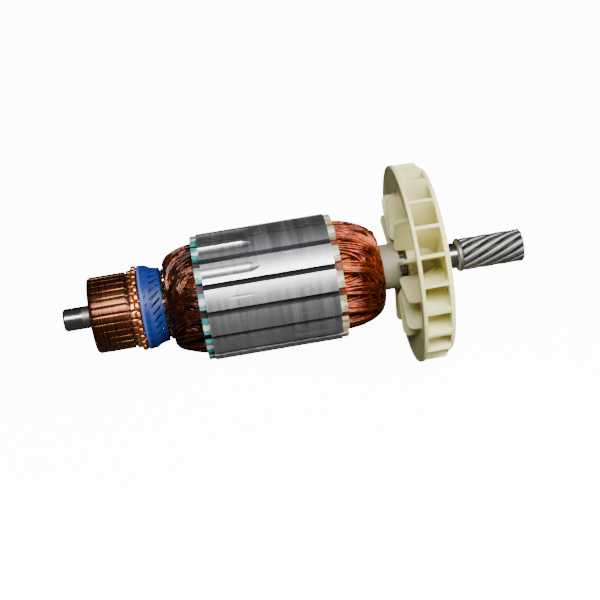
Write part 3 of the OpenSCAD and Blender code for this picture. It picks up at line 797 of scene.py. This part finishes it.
def wedge(bm, outline, half_angle, parts=4):
    """A closed solid on an outline of (radius, z), between two angles either side of the middle."""
    n = len(outline)
    columns = []
    for k in range(parts + 1):
        f = 2 * k / parts - 1
        columns.append([bm.verts.new(polar(r, f * half_angle(r), z)) for r, z in outline])
    for a, b in zip(columns, columns[1:]):
        for i in range(n):
            bm.faces.new((a[i], a[(i + 1) % n], b[(i + 1) % n], b[i]))
    bm.faces.new(columns[0])
    bm.faces.new(columns[-1])


def bar_outline():
    """A bar's side: rounded free end, brush track, turned groove and riser."""
    low, edge = COMM_R - 4.4, 1.4
    points = [(low, COMM_Z)]
    for i in range(6):
        b = math.radians(18 * i)
        points.append((COMM_R - edge + edge * math.sin(b), COMM_Z + edge - edge * math.cos(b)))
    points += [(COMM_R, RISER_Z - 0.9), (COMM_R - 0.7, RISER_Z - 0.75), (COMM_R - 0.7, RISER_Z - 0.15),
               (RISER_R, RISER_Z), (RISER_R, RISER_END), (low, RISER_END)]
    return points


def hook(bm):
    """The strap goes up from the riser's end, back over the lead and down again, as one fused lump."""
    outline = [(13.3, 27.5), (14.2, 27.55), (14.75, 27.25), (15.0, 26.6), (14.9, 25.95), (14.4, 25.5),
               (13.3, 25.3)]
    middle = Vector((14.0, 0, 26.4))
    half_width = 1.15
    rings = []
    for x, scale in ((-1.0, 0.55), (-0.86, 0.85), (-0.5, 1.0), (0.5, 1.0), (0.86, 0.85), (1.0, 0.55)):
        shift = middle + Vector((0, x * half_width, 0))
        rings.append([bm.verts.new(((Vector((r, 0, z)) - middle) * scale + shift) * MM) for r, z in outline])
    for a, b in zip(rings, rings[1:]):
        for i in range(len(outline)):
            j = (i + 1) % len(outline)
            bm.faces.new((a[i], a[j], b[j], b[i]))
    bm.faces.new(rings[0])
    bm.faces.new(rings[-1])


def commutator():
    """Copper bars with a thin gap between each two, and a hook on every riser."""
    gap = 0.16
    bm = bmesh.new()
    wedge(bm, bar_outline(), lambda r: 180 / BAR_COUNT - math.degrees(math.asin(gap / r)))
    bar = rounded(solid_object("bar", bm), 0.06)
    bm = bmesh.new()
    hook(bm)
    strap = solid_object("strap", bm)
    smooth = strap.modifiers.new("smooth", "SUBSURF")
    smooth.levels = smooth.render_levels = 1
    mesh = settle(strap)
    for poly in mesh.polygons:
        poly.use_smooth = True
    strap.data = mesh
    around("copper_bars", bar, BAR_COUNT, BAR_PHASE, "commutator_copper", "commutator_bars")
    around("hooks", strap, BAR_COUNT, BAR_PHASE, "commutator_copper", "commutator_bars")


# ---------------------------------------------------------------- band, leads and cord


def band():
    """One thirtieth of the band, cut along its slanting slits, so that the ring's joints show nowhere."""
    rim = [(14.1, 0.0), (14.62, 0.08), (14.86, 0.3), (14.88, 0.9), (14.72, 1.2)]
    slope = [(14.66, 1.7), (14.66, 2.3), (14.66, 3.0), (13.72, 4.2), (13.45, 4.9), (13.25, 5.7), (13.1, 6.5)]
    profile = [(r, BAND_Z + z) for r, z in rim + slope]
    profile += [(13.0, BAND_END - 0.25), (12.8, BAND_END), (12.2, BAND_END)]
    half, cut = 180 / BAR_COUNT, 1.2
    across = [-half, -half * 0.5, -cut, -cut * 0.5, cut * 0.5, cut, half * 0.5, half]
    bm = bmesh.new()
    rows = []
    for r, z in profile:
        lean = -BAND_SLANT * max(0.0, z - BAND_Z - 1.5)
        rows.append([bm.verts.new(polar(r, a + lean, z)) for a in across])
    for j, (low, high) in enumerate(zip(rows, rows[1:])):
        for i in range(len(across) - 1):
            if i in (2, 3, 4) and (8 <= j <= 10 or (j == 5 and i == 3)):
                continue
            bm.faces.new((low[i], low[i + 1], high[i + 1], high[i]))
    sector = solid_object("band_sector", bm)
    holder = bpy.data.objects.new("band_ring", bpy.data.meshes.new("band_ring"))
    bpy.context.scene.collection.objects.link(holder)
    values = {"Piece": sector, "Count": BAR_COUNT, "First angle": BAR_PHASE + 3.0,
              "Finish": FINISH["blue_resin"]}
    mesh = run_tree(holder, RING, values)
    bpy.data.objects.remove(sector)
    whole = bmesh.new()
    whole.from_mesh(mesh)
    bmesh.ops.remove_doubles(whole, verts=whole.verts, dist=0.00002)
    bmesh.ops.recalc_face_normals(whole, faces=whole.faces)
    outward = 0.0
    for face in whole.faces:
        x, y, _ = face.calc_center_median()
        outward += face.normal.dot(Vector((x, y, 0)).normalized())
    if outward < 0:
        bmesh.ops.reverse_faces(whole, faces=whole.faces)
    whole.to_mesh(mesh)
    whole.free()
    holder.data = mesh
    wall = holder.modifiers.new("wall", "SOLIDIFY")
    wall.thickness = 0.8 * MM
    wall.offset = -1
    smooth = holder.modifiers.new("smooth", "SUBSURF")
    smooth.levels = smooth.render_levels = 1
    mesh = settle(holder)
    bpy.data.objects.remove(holder)
    for poly in mesh.polygons:
        poly.use_smooth = True
    piece("resin_band", mesh, "blue_resin", "lead_band")


def cord():
    """A few turns of cord pulled tight round the leads, next to the band."""
    turns, d, r = 3, 0.66, 12.3
    path = []
    for i in range(72 * turns + 1):
        a = i * 5.0
        path.append(polar(r, a, CORD_Z + 0.3 + d * a / 360))
    line = paths_object("cord_line", [path])
    mesh = run_tree(line, CORD, {"Cord radius": CORD_R * MM, "Turns": 95.0, "Finish": FINISH["black_cord"]})
    bpy.data.objects.remove(line)
    piece("cord_binding", mesh, "black_cord", "binding_cord")


# ---------------------------------------------------------------- windings


def dome_point(t, reach, nose_r, top_r, bulge):
    """A point (radius, height) on the domed outside of the end turns."""
    b = t * math.pi / 2
    r = nose_r + (top_r - nose_r) * math.cos(b) ** bulge
    h = reach * math.sin(b) ** 1.05
    return r, h


def end_turn_paths(reach, nose_r, top_r, sweep, linger, bulges, coils, layers, toward):
    """Middle lines of the coils' end turns. Each leaves its slot, sweeps round the dome and dives
    under its neighbours back to the core. Height runs away from the core."""
    paths = []
    for i in range(coils):
        first = SLOT_PHASE + 360 * i / coils
        for share, depth, more in layers:
            path = []
            for k in range(27):
                u = k / 26
                t = share * math.sin(math.pi * u) ** 0.8
                a = first + toward * sweep * more * (u - linger * math.sin(2 * math.pi * u) / (2 * math.pi))
                swell = bulges[0] + (bulges[1] - bulges[0]) * (0.5 - 0.5 * math.cos(math.radians(a)))
                r, h = dome_point(t, reach, nose_r, top_r, swell)
                dive = depth + 2.6 * (0.5 - 0.5 * math.cos(math.pi * min(1, max(0, (u - 0.38) / 0.3))))
                scale = 1 - dive / 20
                path.append(polar(r * scale, a, h * scale))
            paths.append(path)
    return paths


def last_coils(reach, nose_r, top_r, sweep, linger, firsts, toward):
    """The coils that were wound last lie proud of all the others, bunched as they cross the dome."""
    paths = []
    for first, proud, share in firsts:
        path = []
        for k in range(31):
            u = k / 30
            t = share * math.sin(math.pi * u) ** 0.85
            a = first + toward * sweep * (u - linger * math.sin(2 * math.pi * u) / (2 * math.pi))
            r, h = dome_point(t, reach, nose_r, top_r, 0.75)
            lift = 1 + proud * math.sin(math.pi * u) ** 0.5 / 20
            path.append(polar(r * lift, a, h * lift))
        paths.append(path)
    return paths


def windings(name, paths, base, toward, values, slot, node):
    """Turns middle lines into wire strands that stand on the core's end at `base`."""
    line = paths_object(name + "_lines", paths)
    mesh = run_tree(line, STRANDS, {**values, "Finish": FINISH[slot]})
    bpy.data.objects.remove(line)
    mesh.transform(Matrix.Translation((0, 0, base * MM)) @ Matrix.Diagonal((1, 1, toward, 1)))
    if toward < 0:
        mesh.flip_normals()
    piece(name, mesh, slot, node)


def end_turns():
    """Both domes of wire: bright enamel at the fan's end, dark varnish at the commutator's."""
    fan_side = end_turn_paths(
        16.6, 9.4, 19.5, 118, 0.75, (0.62, 1.0), SLOT_COUNT,
        [(1.0, 0.0, 1.0), (0.86, 0.25, 0.9), (0.7, 0.6, 0.8), (0.5, 1.1, 0.62)], 1)
    windings("fan_end_turns", fan_side, CORE_END + 0.7, 1,
             {"Wires": 9, "Wire radius": 0.31 * MM, "Depth": 0.12, "Slot width": 10.0, "Fan out": 11.0,
              "Wander": 0.45 * MM, "Seed": 4}, "enamelled_wire", "end_turns_fan")
    starts = [(189, 0.3, 1.0), (206, 0.5, 0.94), (60, 0.3, 1.0), (317, 0.2, 0.95)]
    top_coils = last_coils(16.0, 9.8, 19.3, 150, 0.8, starts, 1)
    windings("last_fan_end_coils", top_coils, CORE_END + 0.7, 1,
             {"Wires": 26, "Wire radius": 0.3 * MM, "Depth": 0.1, "Slot width": 9.0, "Fan out": 11.0,
              "Wander": 0.35 * MM, "Seed": 21}, "enamelled_wire", "end_turns_fan")
    comm_side = end_turn_paths(
        12.4, 12.0, 19.5, 132, 0.7, (0.95, 0.6), SLOT_COUNT,
        [(1.0, 0.0, 1.0), (0.9, 0.3, 0.95), (0.74, 0.7, 0.85), (0.55, 1.2, 0.7)], 1)
    windings("commutator_end_turns", comm_side, CORE_Z - 0.7, -1,
             {"Wires": 9, "Wire radius": 0.32 * MM, "Depth": 0.12, "Slot width": 10.0, "Fan out": 11.0,
              "Wander": 0.45 * MM, "Seed": 11}, "varnished_wire", "end_turns_commutator")


# ---------------------------------------------------------------- pinion


def pinion():
    """Helical teeth with eased tips, drawn in fine slices."""
    length, step = SHAFT_L - PINION_Z - SHAFT_CHAMFER, 360 / TOOTH_COUNT
    root, tip = PINION_ROOT, PINION_TIP
    shape = [(root, 0.035), (root + 0.2, 0.06), (root + 0.7, 0.085), (tip - 0.7, 0.12), (tip - 0.4, 0.17),
             (tip - 0.2, 0.24), (tip - 0.06, 0.33), (tip, 0.43), (tip, 0.57), (tip - 0.06, 0.67),
             (tip - 0.2, 0.76), (tip - 0.4, 0.83), (tip - 0.7, 0.88), (root + 0.7, 0.915), (root + 0.2, 0.94),
             (root, 0.965)]
    stations = [(0, 0.35)]
    stations += [(0.3 + (length - 0.6) * k / TOOTH_SLICES, 0.0) for k in range(TOOTH_SLICES + 1)]
    stations += [(length, 0.35)]
    bm = bmesh.new()
    rings = []
    for z, ease in stations:
        turn = PINION_PHASE - 360 * z / LEAD
        rings.append([bm.verts.new(polar(min(r, tip - ease), turn + step * (i + f), PINION_Z + z))
                      for i in range(TOOTH_COUNT) for r, f in shape])
    n = len(rings[0])
    for a, b in zip(rings, rings[1:]):
        for i in range(n):
            bm.faces.new((a[i], a[(i + 1) % n], b[(i + 1) % n], b[i]))
    bore = []
    for z in (0, length):
        turn = PINION_PHASE - 360 * z / LEAD
        bore.append([bm.verts.new(polar(PINION_BORE_R, turn + 360 * i / n, PINION_Z + z)) for i in range(n)])
    for i in range(n):
        j = (i + 1) % n
        bm.faces.new((rings[0][j], rings[0][i], bore[0][i], bore[0][j]))
        bm.faces.new((rings[-1][i], rings[-1][j], bore[1][j], bore[1][i]))
        bm.faces.new((bore[0][i], bore[1][i], bore[1][j], bore[0][j]))
    obj = solid_object("teeth", bm)
    mesh = obj.data
    for poly in mesh.polygons:
        poly.use_smooth = True
    mesh.set_sharp_from_angle(angle=math.radians(50))
    bpy.data.objects.remove(obj)
    mesh.materials.append(FINISH["gear_steel"])
    piece("helical_pinion", mesh, "gear_steel", "pinion")


commutator()
band()
cord()
end_turns()
pinion()

# ---------------------------------------------------------------- the end

bpy.context.view_layer.update()
